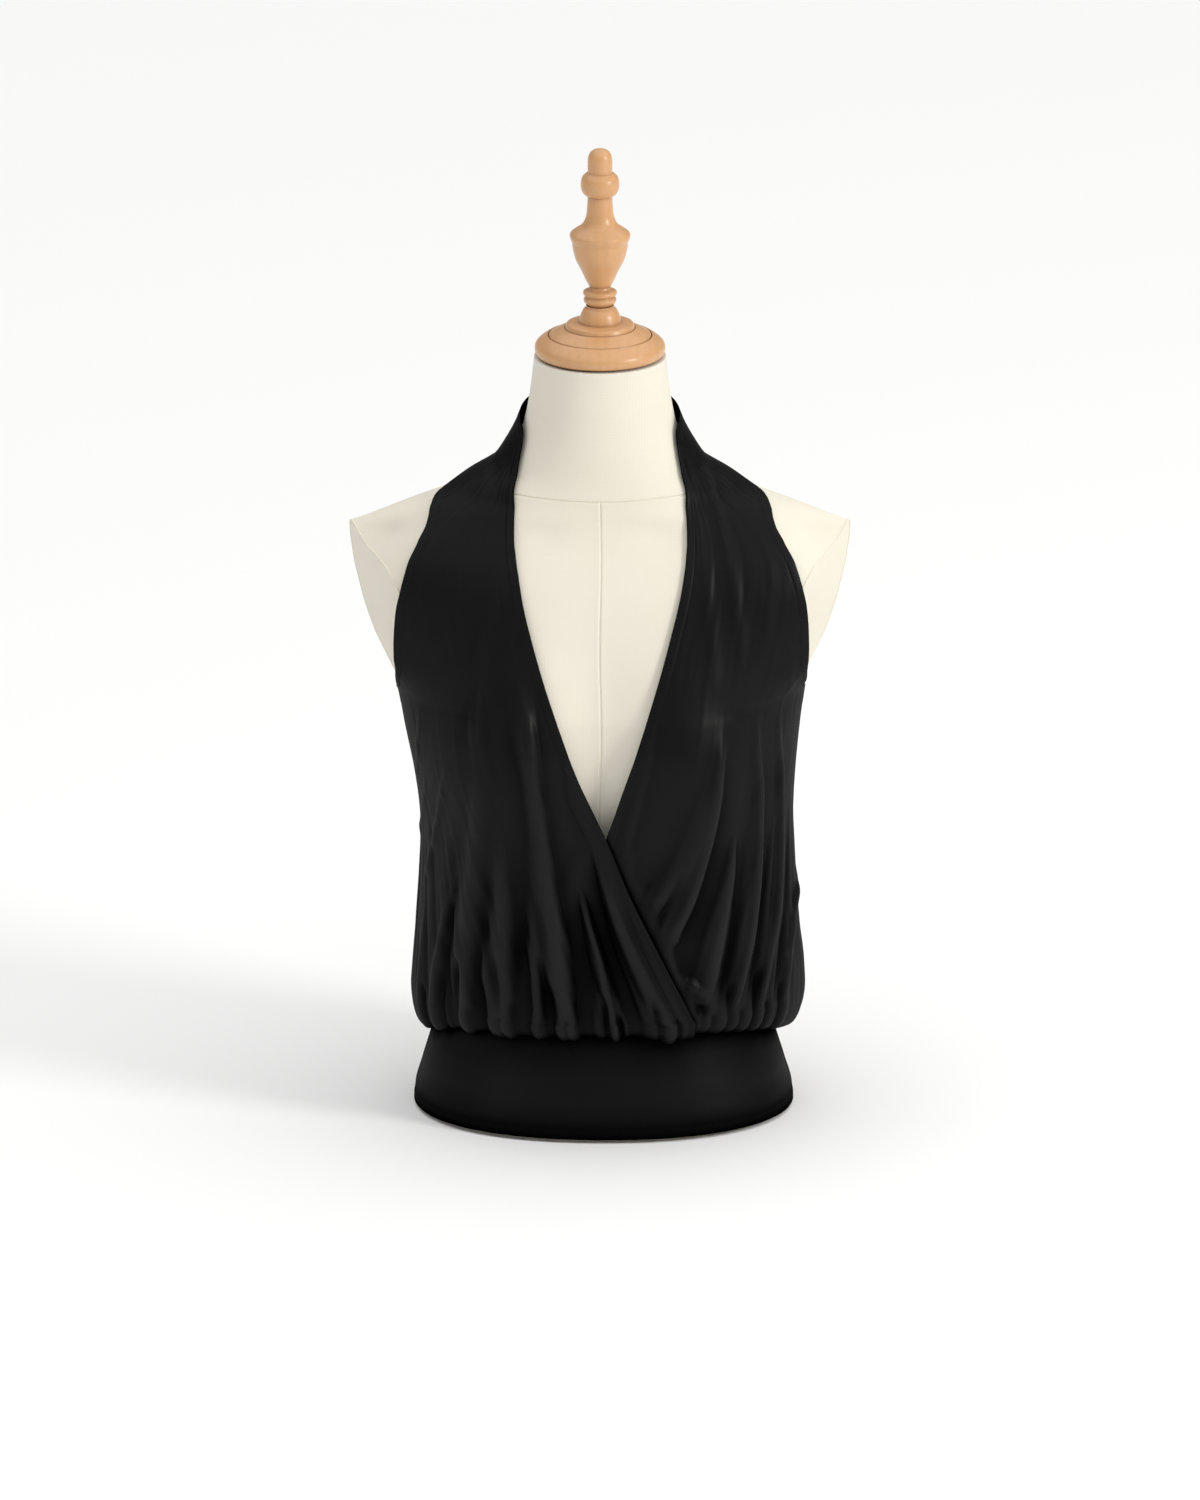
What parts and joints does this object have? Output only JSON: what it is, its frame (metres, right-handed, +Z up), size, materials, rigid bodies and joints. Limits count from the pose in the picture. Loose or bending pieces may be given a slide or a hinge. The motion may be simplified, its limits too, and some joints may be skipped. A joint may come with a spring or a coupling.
{
  "type": "halter wrap top on limbless dress form",
  "caption": "Sleeveless black jersey wrap top with halter neck and gathered waistband, worn by a cream limbless dress form with a turned wooden neck cap and finial",
  "frame": {"origin": "centre of the flat underside of the dress form, where it rests", "axes": "+Z up along the form's axis, -Y to the front of the top, +X to the right as seen from the front (the wearer's left)"},
  "size_m": [0.3738, 0.2395, 0.7436],
  "materials": {
    "jersey": "soft matt knitted jersey with a faint sheen on its folds",
    "band_jersey": "smooth doubled jersey, matt",
    "form_cover": "stretched cream linen-jersey cover with sewn seams",
    "turned_wood": "satin varnished light wood, turned"
  },
  "bodies": {
    "root": {"front_over": "jersey", "front_under": "jersey", "back_panel": "jersey", "waistband_front": "band_jersey", "waistband_back": "band_jersey", "neckband": "band_jersey", "form_body": "form_cover", "neck_cap": "turned_wood", "finial": "turned_wood"}
  },
  "joints": []
}
